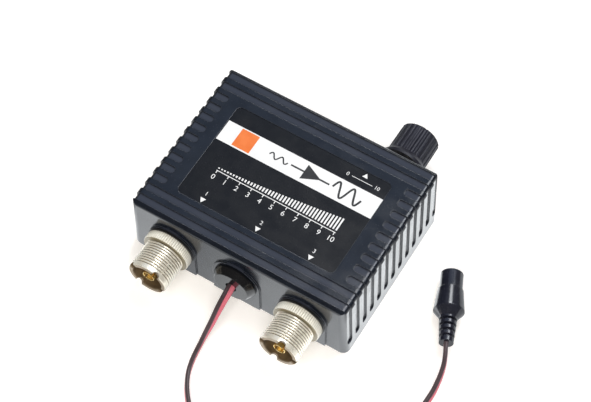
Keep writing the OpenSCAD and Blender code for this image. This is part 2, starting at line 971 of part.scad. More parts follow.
module gain_knob() {
  color([0.05, 0.05, 0.06])
    difference() {
      union() {
        along_y(knob_x, knob_y, socket_z)
          rotate_extrude()
            polygon([
              [0, 0], [skirt_d / 2, 0], [skirt_d / 2, skirt_t * 0.4], [grip_d / 2, skirt_t], [0, skirt_t]
            ]);
        along_y(knob_x, grip_y - 0.2, socket_z)
          rotate_extrude()
            polygon([
              [0, 0], [grip_d / 2, 0], [grip_tip_r, grip_l + 0.2 - grip_chamfer],
              [grip_tip_r - grip_chamfer, grip_l + 0.2],
              [0, grip_l + 0.2]
            ]);
      }
      for (i = [0 : flute_count - 1])
        along_y(knob_x, grip_y, socket_z)
          rotate([0, 0, i * 360 / flute_count])
            translate([grip_d / 2 + flute_out, 0, 0])
              cylinder(r = flute_r, h = grip_l + over);
      along_y(knob_x, grip_y, socket_z)
        rotate([0, 0, mark_turn])
          translate([grip_d / 2 + mark_out, 0, 0])
            cylinder(r = mark_r, h = grip_l + over);
      along_y(knob_x, knob_y - over, socket_z)
        cylinder(r = shaft_r + fit_gap, h = shaft_depth + over);
    }
}

module pot_shaft() {
  color([0.75, 0.73, 0.68])
    union() {
      along_y(knob_x, wiper_y + wiper_t, socket_z)
        cylinder(r = shaft_r, h = knob_y + shaft_depth - wiper_y - wiper_t);
      along_y(knob_x, wiper_y, socket_z)
        cylinder(r = tenon_r, h = wiper_t + 0.2);
    }
}

module pot_wiper() {
  color([0.3, 0.22, 0.15])
    along_y(knob_x, wiper_y, socket_z)
      difference() {
        cylinder(r = pot_r - pot_wall - turn_gap, h = wiper_t);
        translate([0, 0, -over])
          cylinder(r = tenon_r + fit_gap, h = wiper_t + 2 * over);
      }
}

module dc_lead() {
  color([0.45, 0.08, 0.1])
    polyhedron(
      points = [
        for (k = [0 : lead_rings])
          for (j = [0 : lead_sides - 1])
            lead_vertex(k, j)
      ],
      faces = concat(
        [[for (j = [0 : lead_sides - 1]) j]],
        [
          for (k = [0 : lead_rings - 1])
            for (j = [0 : lead_sides - 1])
              for (half = [0, 1])
                half == 0
                  ? [
                      k * lead_sides + j,
                      (k + 1) * lead_sides + j,
                      (k + 1) * lead_sides + (j + 1) % lead_sides
                    ]
                  : [
                      k * lead_sides + j,
                      (k + 1) * lead_sides + (j + 1) % lead_sides,
                      k * lead_sides + (j + 1) % lead_sides
                    ]
        ],
        [[for (j = [lead_sides - 1 : -1 : 0]) lead_rings * lead_sides + j]]
      ),
      convexity = 8
    );
}

module jack_body() {
  step = (relief_l - jack_shoulder_l) / (relief_cuts + 0.5);
  color([0.04, 0.04, 0.045])
    at_jack()
      difference() {
        rotate_extrude()
          polygon([
            [0, 0], [jack_front_r - jack_bevel, 0], [jack_front_r, -jack_bevel],
            [jack_front_r, -jack_front_l], [jack_cone_r, -jack_front_l],
            [jack_rear_r, -jack_body_l], [relief_r, -jack_body_l - jack_shoulder_l],
            [relief_tip_r, -jack_l], [0, -jack_l]
          ]);
        translate([0, 0, -sleeve_l])
          cylinder(r = sleeve_r, h = sleeve_l + over);
        for (i = [1 : relief_cuts])
          translate([0, 0, -jack_body_l - jack_shoulder_l - (i - 0.5) * step - relief_cut_w / 2])
            difference() {
              cylinder(r = relief_r + over, h = relief_cut_w);
              translate([0, 0, -over])
                cylinder(r = relief_core_r, h = relief_cut_w + 2 * over);
            }
      }
}

module jack_sleeve() {
  color([0.75, 0.75, 0.74])
    at_jack()
      translate([0, 0, -sleeve_l])
        difference() {
          cylinder(r = sleeve_r - fit_gap, h = sleeve_l - jack_bevel);
          translate([0, 0, -over])
            cylinder(r = sleeve_bore_r, h = sleeve_l + 2 * over);
        }
}

module jack_pin() {
  color([0.78, 0.77, 0.74])
    at_jack()
      translate([0, 0, -sleeve_l])
        union() {
          cylinder(r = jack_pin_r, h = jack_pin_l - jack_pin_r);
          translate([0, 0, jack_pin_l - jack_pin_r])
            sphere(r = jack_pin_r);
        }
}

top_cover();
bottom_cover();
cover_screws();
label_plate();
antenna_shell();
antenna_insulator();
antenna_contact();
antenna_ring();
antenna_washer();
antenna_lug();
receiver_shell();
receiver_insulator();
receiver_contact();
receiver_ring();
receiver_washer();
receiver_lug();
cord_bushing();
circuit_board();
board_screws();
amplifier_chip();
choke_coil();
supply_capacitor();
small_capacitors();
small_resistors();
antenna_link();
receiver_link();
supply_leads();
control_leads();
pot_body();
pot_bushing();
pot_washer();
pot_nut();
pot_terminals();
gain_knob();
pot_shaft();
pot_wiper();
dc_lead();
jack_body();
jack_sleeve();
jack_pin();
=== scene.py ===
# %% [markdown]
# # A small radio preamplifier
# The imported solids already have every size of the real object: a ribbed moulded case, two
# threaded sockets, a gain knob, a twin lead and its jack. This lesson adds what solids leave
# out: the screw threads, the knurls, the slit contacts, the ink on the label, and finishes
# that answer to the light.

# %% Load the solids
import math

import bmesh
import bpy
from mathutils import Matrix, Vector


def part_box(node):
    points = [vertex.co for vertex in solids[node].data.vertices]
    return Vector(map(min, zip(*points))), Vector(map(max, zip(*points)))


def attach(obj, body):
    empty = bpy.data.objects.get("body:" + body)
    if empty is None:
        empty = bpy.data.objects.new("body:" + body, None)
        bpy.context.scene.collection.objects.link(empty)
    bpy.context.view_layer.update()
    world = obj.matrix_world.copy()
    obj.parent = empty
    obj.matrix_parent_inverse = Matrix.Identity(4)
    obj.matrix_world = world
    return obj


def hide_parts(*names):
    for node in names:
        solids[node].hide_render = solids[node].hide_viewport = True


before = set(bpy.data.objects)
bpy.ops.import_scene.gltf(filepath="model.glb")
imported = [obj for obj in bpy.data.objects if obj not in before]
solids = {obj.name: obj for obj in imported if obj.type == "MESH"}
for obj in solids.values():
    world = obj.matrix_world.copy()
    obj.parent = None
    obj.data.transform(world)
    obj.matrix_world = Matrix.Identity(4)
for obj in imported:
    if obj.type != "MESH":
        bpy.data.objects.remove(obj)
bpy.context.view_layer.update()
MM = 0.001

# %% [markdown]
# ## The camera
# A product picture starts with its viewpoint. One could drag a camera until it looks right,
# but here the angles were measured, so the camera's own axes are written as a matrix: its
# right-hand direction, its up direction, and the direction from the object back to the lens.

# %% Camera
azimuth, elevation, roll = math.radians(31.566), math.radians(59.713), -0.0035
look_at = Vector((-0.71, 7.21, 10)) * MM
lens_distance = 0.647

toward = Vector((
    math.sin(azimuth) * math.cos(elevation),
    -math.cos(azimuth) * math.cos(elevation),
    math.sin(elevation),
))
level = Vector((0, 0, 1)).cross(toward).normalized()
upright = toward.cross(level)
across = level * math.cos(roll) + upright * math.sin(roll)
upward = upright * math.cos(roll) - level * math.sin(roll)
lens_place = look_at + toward * lens_distance

lens = bpy.data.cameras.new("product_camera")
lens.sensor_fit = "HORIZONTAL"
lens.sensor_width = 36
lens.lens = 104.47
lens.shift_x, lens.shift_y = 0.0019, -0.0025
lens.clip_start, lens.clip_end = 0.01, 20
camera = bpy.data.objects.new("product_camera", lens)
camera.matrix_world = Matrix([
    (across[i], upward[i], toward[i], lens_place[i]) for i in range(3)
] + [(0, 0, 0, 1)])
bpy.context.scene.collection.objects.link(camera)
bpy.context.scene.camera = camera
bpy.context.scene.view_settings.view_transform = "Standard"
print("camera at", [round(v, 3) for v in lens_place])

# %% [markdown]
# ## The route of the power lead
# The real lead is two insulated wires joined side by side. It leaves the bushing, falls to the
# table, turns in one loose loop and rises into the tail of the jack. A smooth curve through a
# few measured points, with its direction at each point taken from the neighbours, gives the
# even bends that a springy wire makes by itself.

# %% Route of the lead
lead_stations = [Vector(p) * MM for p in (
    (0, -36.85, 14.05), (0.2, -41.5, 13.6), (0.2, -46, 12), (0.2, -52, 8.6), (0.1, -59, 4.9),
    (0.6, -66, 2.5), (2.7, -72.5, 1.8), (7.5, -79.5, 1.8), (16, -87.5, 1.8), (28, -94, 1.8),
    (42, -95, 1.8), (56, -89, 1.8), (68, -77, 1.8), (76, -62, 1.8), (80, -48, 1.8),
    (81, -36, 1.9), (81, -29, 2.8), (79.8, -21.5, 5.6), (76.54, -14.16, 7.04),
)]
jack_axis = Vector((-0.4067, 0.9091, -0.09))
lead_steps = 6  # rings from one station to the next
end_pull = 6  # how firmly both ends hold their direction, in millimetres


def station_direction(i):
    if i == 0:
        return Vector((0, -end_pull, 0)) * MM
    if i == len(lead_stations) - 1:
        return jack_axis * end_pull * MM
    return (lead_stations[i + 1] - lead_stations[i - 1]) / 2


def lead_point(i, t):
    a, b = lead_stations[i], lead_stations[i + 1]
    da, db = station_direction(i), station_direction(i + 1)
    centre = (
        a * (2 * t**3 - 3 * t**2 + 1) + da * (t**3 - 2 * t**2 + t)
        + b * (3 * t**2 - 2 * t**3) + db * (t**3 - t**2)
    )
    heading = (
        a * (6 * t**2 - 6 * t) + da * (3 * t**2 - 4 * t + 1)
        + b * (6 * t - 6 * t**2) + db * (3 * t**2 - 2 * t)
    )
    return centre, heading.normalized()


lead_line = [
    lead_point(i, k / lead_steps)
    for i in range(len(lead_stations) - 1) for k in range(lead_steps)
] + [lead_point(len(lead_stations) - 2, 1.0)]

# %% [markdown]
# ## The twin lead
# Two round strands touch along a narrow waist, so the section is a figure of eight. A curve with
# a bevel object could sweep it, but how it turns along the way would be hard to steer, so its
# rings are placed one by one along the route. The lead leaves the bushing flat and soon stands
# on its edge, leaning a little in the loop. Each half of the section has its own insulation
# colour: the strands get one material each, by face.

# %% Helper that makes a piece from rings
def new_piece(name, points, faces, smooth_angle=35):
    mesh = bpy.data.meshes.new(name)
    mesh.from_pydata([tuple(p) for p in points], [], faces)
    work = bmesh.new()
    work.from_mesh(mesh)
    bmesh.ops.recalc_face_normals(work, faces=work.faces)
    work.to_mesh(mesh)
    work.free()
    mesh.shade_smooth()
    mesh.set_sharp_from_angle(angle=math.radians(smooth_angle))
    piece = bpy.data.objects.new(name, mesh)
    bpy.context.scene.collection.objects.link(piece)
    return piece


def ring_faces(rings, sides, close=False):
    faces = []
    for k in range(rings if close else rings - 1):
        for j in range(sides):
            a, b = k * sides, (k + 1) % rings * sides
            faces.append((a + j, b + j, b + (j + 1) % sides, a + (j + 1) % sides))
    return faces


# %% Twin lead
strand_r, strand_gap = 0.85 * MM, 0.82 * MM
half_arc, arc_points = 148, 11
on_edge_by, lean_from, most_lean = 0.22, 0.3, 30
strand_arc = [
    math.radians(-half_arc + 2 * half_arc * i / (arc_points - 1)) for i in range(arc_points)
]
lead_section = (
    [(strand_gap + strand_r * math.cos(a), strand_r * math.sin(a)) for a in strand_arc]
    + [(-strand_gap - strand_r * math.cos(a), -strand_r * math.sin(a)) for a in strand_arc]
)
lead_points = []
for k, (centre, heading) in enumerate(lead_line):
    share = k / (len(lead_line) - 1)
    lean = math.sin(math.pi * max((share - lean_from) / (1 - lean_from), 0))
    turn = math.radians(90 * min(share / on_edge_by, 1) + most_lean * lean)
    sideways = heading.cross(Vector((0, 0, 1))).normalized()
    over = sideways.cross(heading)
    for x, y in lead_section:
        lead_points.append(
            centre
            + sideways * (x * math.cos(turn) - y * math.sin(turn))
            + over * (x * math.sin(turn) + y * math.cos(turn))
        )
lead_sides = len(lead_section)
lead_faces = ring_faces(len(lead_line), lead_sides)
lead_faces.append(tuple(range(lead_sides)))
lead_faces.append(tuple((len(lead_line) - 1) * lead_sides + j for j in range(lead_sides)))
twin_lead = new_piece("twin_lead", lead_points, lead_faces, smooth_angle=60)
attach(twin_lead, "case")
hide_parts("dc_lead")
print("twin lead faces:", len(twin_lead.data.polygons))

# %% [markdown]
# ## The table, the room and the lamps
# The object lies on bright white paper under soft light from above. Polished black plastic has
# little colour of its own, so what it mirrors is most of what one sees: the paper below turns
# the upright walls grey, the dim room draws the dark rounded edges, and a pale window high up
# behind the object gives the top its blue cast. So the paper and the room answer glossy rays
# with their own values, while the light that falls on the object stays plain. The mirrored
# paper grows brighter from left to right, with a bright patch under the left end of the front
# wall and a dim stretch towards the jack.
#
# Each lamp stands where its mirror image is wanted. The broad one behind on the right draws the
# sheen along the jack, the small one overhead draws the streak on the threads, and neither
# shows in the flat top. The back lamp brightens the far sides. The front lamp fills the shadows
# and lights the sockets below the edge of the case, so it is hidden from mirrors.

# %% Helpers for shader trees
def feed(tree, socket, value):
    """Link a socket to the value if it comes from a node, or else write it there."""
    if isinstance(value, bpy.types.NodeSocket):
        tree.links.new(value, socket)
    else:
        socket.default_value = value


def place(tree, kind, settings=(), **inputs):
    made = tree.nodes.new(kind)
    for key, value in dict(settings).items():
        setattr(made, key, value)
    for key, value in inputs.items():
        feed(tree, made.inputs[key.replace("_", " ")], value)
    return made


def calculate(tree, operation, a, b=0.0):
    made = place(tree, "ShaderNodeMath", {"operation": operation})
    feed(tree, made.inputs[0], a)
    feed(tree, made.inputs[1], b)
    return made.outputs[0]


def spread(tree, value, low, high, new_low, new_high):
    made = place(
        tree, "ShaderNodeMapRange", {"interpolation_type": "SMOOTHSTEP"},
        Value=value, From_Min=low, From_Max=high, To_Min=new_low, To_Max=new_high,
    )
    return made.outputs["Result"]


def mixed_shader(tree, share, first, second):
    made = place(tree, "ShaderNodeMixShader", Fac=share)
    tree.links.new(first.outputs[0], made.inputs[1])
    tree.links.new(second.outputs[0], made.inputs[2])
    return made


# %% Paper sheet
paper_half = 6
paper_mesh = bpy.data.meshes.new("paper")
paper_mesh.from_pydata(
    [(x * paper_half, y * paper_half, 0) for x, y in ((-1, -1), (1, -1), (1, 1), (-1, 1))],
    [], [(0, 1, 2, 3)],
)
paper = bpy.data.objects.new("paper", paper_mesh)
bpy.context.scene.collection.objects.link(paper)
print("paper laid at height", paper.location.z)

# %% Paper as the lens sees it
# Each such row: between two distances in metres, the value goes from the third to the fourth
glow_by_distance = (0.3, 1.0, 1.0, 2.2)
paper_finish = bpy.data.materials.new("white_paper")
paper_finish.use_nodes = True
tree = paper_finish.node_tree
tree.nodes.clear()
ray = place(tree, "ShaderNodeLightPath")
spot = place(tree, "ShaderNodeNewGeometry")
away = place(tree, "ShaderNodeVectorMath", {"operation": "LENGTH"})
tree.links.new(spot.outputs["Position"], away.inputs[0])
distance = away.outputs["Value"]
fibre = place(
    tree, "ShaderNodeTexNoise", Vector=spot.outputs["Position"], Scale=900.0, Detail=3.0
)
paper_tone = place(tree, "ShaderNodeValToRGB", Fac=fibre.outputs["Fac"])
paper_tone.color_ramp.elements[0].color = (0.94, 0.95, 0.97, 1)
paper_tone.color_ramp.elements[1].color = (0.97, 0.98, 1.0, 1)
soft = place(tree, "ShaderNodeBsdfDiffuse", Color=paper_tone.outputs["Color"])
far_glow = spread(tree, distance, *glow_by_distance)
glow = place(
    tree, "ShaderNodeEmission", Color=(0.33, 0.29, 0.235, 1),
    Strength=calculate(tree, "MULTIPLY", ray.outputs["Is Camera Ray"], far_glow),
)
lit = place(tree, "ShaderNodeAddShader")
tree.links.new(soft.outputs[0], lit.inputs[0])
tree.links.new(glow.outputs[0], lit.inputs[1])
print("nodes for plain paper:", len(tree.nodes))

# %% Paper as mirrors see it
shine_to_the_right = (-0.06, 0.03, 0.45, 1.65)
shine_at_right_end = (0.038, 0.055, 0.0, 1.0)
shine_towards_jack = (0.056, 0.063, 1.0, 0.35)
patch_start = (-0.062, -0.055, 0.0, 1.3)
patch_end = (-0.040, -0.030, 1.0, 0.0)
clear_by_distance = (0.22, 0.6, 0.0, 1.0)
spot_parts = place(tree, "ShaderNodeSeparateXYZ", Vector=spot.outputs["Position"])
paper_x = spot_parts.outputs["X"]
mirrored = calculate(
    tree, "MAXIMUM", ray.outputs["Is Glossy Ray"], ray.outputs["Is Transmission Ray"]
)
shine_level = calculate(
    tree, "ADD",
    spread(tree, paper_x, *shine_to_the_right), spread(tree, paper_x, *shine_at_right_end),
)
shine_level = calculate(
    tree, "MULTIPLY", shine_level, spread(tree, paper_x, *shine_towards_jack)
)
left_patch = calculate(
    tree, "MULTIPLY", spread(tree, paper_x, *patch_start), spread(tree, paper_x, *patch_end)
)
shine_level = calculate(tree, "ADD", shine_level, left_patch)
shine = place(tree, "ShaderNodeEmission", Color=(0.95, 0.98, 1.0, 1), Strength=shine_level)
near_paper = mixed_shader(tree, mirrored, lit, shine)
beyond = calculate(tree, "MULTIPLY", mirrored, spread(tree, distance, *clear_by_distance))
edge_of_paper = mixed_shader(
    tree, beyond, near_paper, place(tree, "ShaderNodeBsdfTransparent")
)
tree.links.new(
    edge_of_paper.outputs[0], place(tree, "ShaderNodeOutputMaterial").inputs["Surface"]
)
paper_mesh.materials.append(paper_finish)
print("nodes for all of the paper:", len(tree.nodes))

# %% Room light
window_behind = (0.0, 0.38, 0.0, 1.0)
window_above = (0.5, 0.8, 0.0, 1.0)
room = bpy.data.worlds.new("studio_room")
room.use_nodes = True
bpy.context.scene.world = room
tree = room.node_tree
tree.nodes.clear()
ray = place(tree, "ShaderNodeLightPath")
direction = place(tree, "ShaderNodeTexCoord")
ray_parts = place(tree, "ShaderNodeSeparateXYZ", Vector=direction.outputs["Generated"])
lit_part = calculate(
    tree, "MULTIPLY",
    spread(tree, ray_parts.outputs["Y"], *window_behind),
    spread(tree, ray_parts.outputs["Z"], *window_above),
)
sky = place(tree, "ShaderNodeValToRGB", Fac=lit_part)
sky.color_ramp.elements[0].color = (0.11, 0.105, 0.095, 1)
sky.color_ramp.elements[1].color = (0.31, 0.38, 0.51, 1)
mirror_room = place(tree, "ShaderNodeBackground", Color=sky.outputs["Color"], Strength=1.0)
plain_room = place(tree, "ShaderNodeBackground", Color=(0.32, 0.33, 0.35, 1), Strength=1.0)
white_room = place(tree, "ShaderNodeBackground", Color=(1, 1, 1, 1), Strength=1.0)
by_mirror = mixed_shader(tree, ray.outputs["Is Glossy Ray"], plain_room, mirror_room)
by_camera = mixed_shader(tree, ray.outputs["Is Camera Ray"], by_mirror, white_room)
tree.links.new(by_camera.outputs[0], place(tree, "ShaderNodeOutputWorld").inputs["Surface"])
print("room set")

# %% Lamps
def soft_lamp(name, where, size, watts, tint):
    lamp = bpy.data.lights.new(name, "AREA")
    lamp.shape = "DISK"
    lamp.size = size
    lamp.energy = watts
    lamp.color = tint
    holder = bpy.data.objects.new(name, lamp)
    holder.location = where
    holder.rotation_euler = (look_at - Vector(where)).to_track_quat("-Z", "Y").to_euler()
    bpy.context.scene.collection.objects.link(holder)
    return holder


soft_lamp("overhead_lamp", (0.25, 0.46, 0.75), size=0.40, watts=2.2, tint=(0.93, 0.96, 1.0))
soft_lamp("small_lamp", (0.0, 0.20, 0.76), size=0.20, watts=0.8, tint=(1.0, 0.99, 0.97))
soft_lamp("back_lamp", (-0.22, 0.80, 0.64), size=0.30, watts=1.9, tint=(0.96, 0.98, 1.0))
front_lamp = soft_lamp(
    "front_lamp", (0.20, -0.62, 0.70), size=0.60, watts=6.0, tint=(1.0, 0.97, 0.92)
)
front_lamp.visible_glossy = False

# %% [markdown]
# ## Effects that several finishes share
# Moulded plastic, rubber and coated metal all show the same few things at different scales: a
# fine grain pressed in by the mould, edges that are never perfectly sharp, patches where hands
# have polished the surface, and a few settled specks of dust. Turned metal adds the fine rings
# of the lathe around its axis, which the box of a socket's solid gives. Every finish could have
# its own nodes for these, but as node groups with named sockets each is made once, and a finish
# only places it with its own values.

# %% Helpers for node groups
def new_group(name, inputs, outputs):
    group = bpy.data.node_groups.new(name, "ShaderNodeTree")
    for label, value in inputs:
        made = group.interface.new_socket(label, in_out="INPUT", socket_type="NodeSocketFloat")
        made.default_value = value
    for label, kind in outputs:
        group.interface.new_socket(label, in_out="OUTPUT", socket_type=kind)
    return group, group.nodes.new("NodeGroupInput"), group.nodes.new("NodeGroupOutput")


def scaled_place(group, per_metre):
    where = place(group, "ShaderNodeTexCoord")
    grown = place(group, "ShaderNodeVectorMath", {"operation": "SCALE"})
    group.links.new(where.outputs["Object"], grown.inputs[0])
    group.links.new(per_metre, grown.inputs["Scale"])
    return grown.outputs[0]


# %% Moulded grain
grain_group, taken, given = new_group(
    "moulded_grain", [("Per Metre", 3000.0)],
    [("Height", "NodeSocketFloat"), ("Tone", "NodeSocketFloat")],
)
grain_place = scaled_place(grain_group, taken.outputs["Per Metre"])
fine = place(
    grain_group, "ShaderNodeTexNoise",
    Vector=grain_place, Scale=1.0, Detail=3.0, Roughness=0.6,
)
broad = place(grain_group, "ShaderNodeTexNoise", Vector=grain_place, Scale=0.06, Detail=4.0)
grain_group.links.new(fine.outputs["Fac"], given.inputs["Height"])
grain_group.links.new(
    spread(grain_group, broad.outputs["Fac"], 0.3, 0.7, 0.0, 1.0), given.inputs["Tone"]
)
print("group:", grain_group.name)

# %% Soft edges
edge_group, taken, given = new_group(
    "soft_edge", [("Radius", 0.0003)],
    [("Normal", "NodeSocketVector"), ("Edge", "NodeSocketFloat")],
)
rounded = place(edge_group, "ShaderNodeBevel", {"samples": 6}, Radius=taken.outputs["Radius"])
flat = place(edge_group, "ShaderNodeNewGeometry")
match = place(edge_group, "ShaderNodeVectorMath", {"operation": "DOT_PRODUCT"})
edge_group.links.new(rounded.outputs[0], match.inputs[0])
edge_group.links.new(flat.outputs["Normal"], match.inputs[1])
edge_group.links.new(rounded.outputs[0], given.inputs["Normal"])
tilt = calculate(edge_group, "SUBTRACT", 1.0, match.outputs["Value"])
edge_group.links.new(spread(edge_group, tilt, 0.02, 0.3, 0.0, 1.0), given.inputs["Edge"])
print("group:", edge_group.name)

# %% Marks of handling
handling_group, taken, given = new_group(
    "handling", [("Per Metre", 60.0)],
    [("Polish", "NodeSocketFloat"), ("Specks", "NodeSocketFloat")],
)
hand_place = scaled_place(handling_group, taken.outputs["Per Metre"])
smear = place(
    handling_group, "ShaderNodeTexNoise",
    Vector=hand_place, Scale=1.0, Detail=5.0, Distortion=0.6,
)
speck = place(handling_group, "ShaderNodeTexVoronoi", Vector=hand_place, Scale=14.0)
handling_group.links.new(
    spread(handling_group, smear.outputs["Fac"], 0.35, 0.65, 0.0, 1.0), given.inputs["Polish"]
)
handling_group.links.new(
    spread(handling_group, speck.outputs["Distance"], 0.05, 0.14, 1.0, 0.0), given.inputs["Specks"]
)
print("group:", handling_group.name)

# %% Lathe marks
def box_in_mm(solid):
    return [[round(v / MM, 4) for v in corner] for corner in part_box(solid)]


shell_low, shell_high = box_in_mm("receiver_shell")
socket_x = (shell_low[0] + shell_high[0]) / 2
socket_z = (shell_low[2] + shell_high[2]) / 2
lathe_group, taken, given = new_group(
    "lathe_marks", [("Per Metre", 5000.0)],
    [("Marks", "NodeSocketFloat"), ("Reach", "NodeSocketFloat"), ("Along", "NodeSocketFloat")],
)
where = place(lathe_group, "ShaderNodeTexCoord")
parts = place(lathe_group, "ShaderNodeSeparateXYZ", Vector=where.outputs["Object"])
from_middle = calculate(lathe_group, "ABSOLUTE", parts.outputs["X"])
off_axis = calculate(lathe_group, "SUBTRACT", from_middle, socket_x * MM)
off_height = calculate(lathe_group, "SUBTRACT", parts.outputs["Z"], socket_z * MM)
reach = calculate(
    lathe_group, "SQRT",
    calculate(
        lathe_group, "ADD",
        calculate(lathe_group, "MULTIPLY", off_axis, off_axis),
        calculate(lathe_group, "MULTIPLY", off_height, off_height),
    ),
)
turned = place(lathe_group, "ShaderNodeCombineXYZ", X=parts.outputs["Y"], Y=reach)
grown = place(lathe_group, "ShaderNodeVectorMath", {"operation": "SCALE"})
lathe_group.links.new(turned.outputs[0], grown.inputs[0])
lathe_group.links.new(taken.outputs["Per Metre"], grown.inputs["Scale"])
lines = place(lathe_group, "ShaderNodeTexNoise", Vector=grown.outputs[0], Scale=1.0, Detail=3.0)
lathe_group.links.new(lines.outputs["Fac"], given.inputs["Marks"])
lathe_group.links.new(reach, given.inputs["Reach"])
lathe_group.links.new(parts.outputs["Y"], given.inputs["Along"])
print("group:", lathe_group.name, "around an axis at", socket_x, socket_z)

# %% [markdown]
# ## A recipe for plastics
# Nearly every dark piece here is moulded plastic or rubber, and they differ only in shade, gloss
# and grain. The recipe keeps the fixed numbers on the shader itself and lets only the changing
# values come from the groups: tone into the colour, polish into the roughness, grain into the
# bump. The bump starts from the softened edge, so each corner catches a thin line of light, and
# the same edge mask paints the colour paler along every edge: a painted highlight.

# %% Helpers for finishes
def group_in(tree, group, **inputs):
    made = tree.nodes.new("ShaderNodeGroup")
    made.node_tree = group
    for key, value in inputs.items():
        made.inputs[key.replace("_", " ")].default_value = value
    return made.outputs


def blended(tree, share, first, second):
    made = place(tree, "ShaderNodeMix", {"data_type": "RGBA"})
    feed(tree, made.inputs[0], share)
    for socket, colour in ((made.inputs[6], first), (made.inputs[7], second)):
        feed(tree, socket, (*colour, 1) if isinstance(colour, tuple) else colour)
    return made.outputs[2]


def new_finish(name):
    finish = bpy.data.materials.new(name)
    finish.use_nodes = True
    return finish, finish.node_tree, finish.node_tree.nodes["Principled BSDF"]


# %% Plastic recipe
dust_colour = (0.35, 0.35, 0.36)
highlight_gain, plastic_hand_marks = 2.2, 70.0


def plastic(
    name, dark, light, gloss, grain, depth, edge, ior=1.5, edge_highlight=0.35, specks=0.25, highlight_lift=0.03
):
    finish, tree, shader = new_finish(name)
    pressed = group_in(tree, grain_group, Per_Metre=1 / (grain * MM))
    corner = group_in(tree, edge_group, Radius=edge * MM)
    touch = group_in(tree, handling_group, Per_Metre=plastic_hand_marks)
    tone = blended(tree, pressed["Tone"], dark, light)
    # Painted highlight: near the edges the colour turns to a paler copy of the light tone.
    highlight_colour = tuple(min(1.0, highlight_gain * v + highlight_lift) for v in light)
    edge_highlight_share = calculate(tree, "MULTIPLY", corner["Edge"], edge_highlight)
    tone = blended(tree, edge_highlight_share, tone, highlight_colour)
    dusty = calculate(tree, "MULTIPLY", touch["Specks"], specks)
    tone = blended(tree, dusty, tone, dust_colour)
    tree.links.new(tone, shader.inputs["Base Color"])
    tree.links.new(spread(tree, touch["Polish"], 0.0, 1.0, *gloss), shader.inputs["Roughness"])
    bump = place(
        tree, "ShaderNodeBump", Strength=1.0, Distance=depth * MM,
        Height=pressed["Height"], Normal=corner["Normal"],
    )
    tree.links.new(bump.outputs[0], shader.inputs["Normal"])
    shader.inputs["IOR"].default_value = ior
    return finish


def dress(finish, *names):
    for name in names:
        for slot in solids[name].material_slots:
            slot.material = finish


# %% [markdown]
# ## The case
# The cover is one moulding of hard, polished black plastic with a very fine grain. Its ribs are
# real grooves in the solid. The finish only has to be dark, fairly glossy and slightly uneven,
# with a painted highlight that makes the edges paler. The groove floors get a painted sheen, so
# they look paler than the ribs. A mask finds them: they face up and lie below the top.

# %% Mask for the groove floors
groove_group, taken, given = new_group(
    "groove_floor_sheen", [("Low", 0.0), ("High", 1.0)], [("Mask", "NodeSocketFloat")],
)
where = place(groove_group, "ShaderNodeTexCoord")
level_there = place(groove_group, "ShaderNodeSeparateXYZ", Vector=where.outputs["Object"])
facing = place(groove_group, "ShaderNodeSeparateXYZ", Vector=where.outputs["Normal"])
sunk = spread(
    groove_group, level_there.outputs["Z"], taken.outputs["Low"], taken.outputs["High"], 1.0, 0.0
)
upward_facing = spread(groove_group, facing.outputs["Z"], 0.9, 0.97, 0.0, 1.0)
groove_group.links.new(
    calculate(groove_group, "MULTIPLY", sunk, upward_facing), given.inputs["Mask"]
)
print("group:", groove_group.name)

# %% Case finish
case_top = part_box("top_cover")[1].z
groove_low, groove_high = case_top - 0.55 * MM, case_top - 0.25 * MM


def tint(finish, mask, colour):
    tree = finish.node_tree
    base = tree.nodes["Principled BSDF"].inputs["Base Color"]
    tree.links.new(blended(tree, mask, base.links[0].from_socket, colour), base)


case_plastic = plastic(
    "case_plastic", (0.004, 0.006, 0.011), (0.008, 0.011, 0.018), (0.14, 0.22),
    grain=0.35, depth=0.010, edge=0.4, ior=1.6, edge_highlight=0.8, specks=0.12, highlight_lift=0.08,
)
groove_floor_sheen = group_in(case_plastic.node_tree, groove_group, Low=groove_low, High=groove_high)
# Painted sheen: the groove floors are painted paler than the ribs.
tint(case_plastic, groove_floor_sheen["Mask"], (0.030, 0.034, 0.048))
dress(case_plastic, "top_cover")
under_plastic = plastic(
    "under_plastic", (0.012, 0.012, 0.014), (0.022, 0.022, 0.026), (0.35, 0.5),
    grain=0.5, depth=0.02, edge=0.3,
)
dress(under_plastic, "bottom_cover")
print("case dressed")

# %% [markdown]
# ## The label film
# A printed film lies in a shallow recess. It is blacker and flatter than the moulding around it,
# with few specks and a faint painted highlight along its cut edge. The solid has its outline
# already, so the plastic recipe with a much shallower grain is enough.

# %% Label film
label_film = plastic(
    "label_film", (0.004, 0.004, 0.005), (0.007, 0.007, 0.008), (0.20, 0.26),
    grain=0.2, depth=0.001, edge=0.25, ior=1.45, edge_highlight=0.1, specks=0.06,
)
dress(label_film, "label_plate")
label_low, label_high = box_in_mm("label_plate")
print("label in mm:", label_low, label_high)

# %% [markdown]
# ## Ink on the label
# The print is a thin layer of ink. A picture texture could carry it, but here each inked area is
# drawn as flat faces a few hundredths of a millimetre above the film, so its edges stay sharp at
# any size. The white band carries a plain block and the usual drawing of an amplifier: a small
# wave, a triangle, a large wave. Below it a level scale with numbers goes with the gain knob.

# %% Drawing helpers for ink
ink_level, ink_coat = label_high[2], 0.02


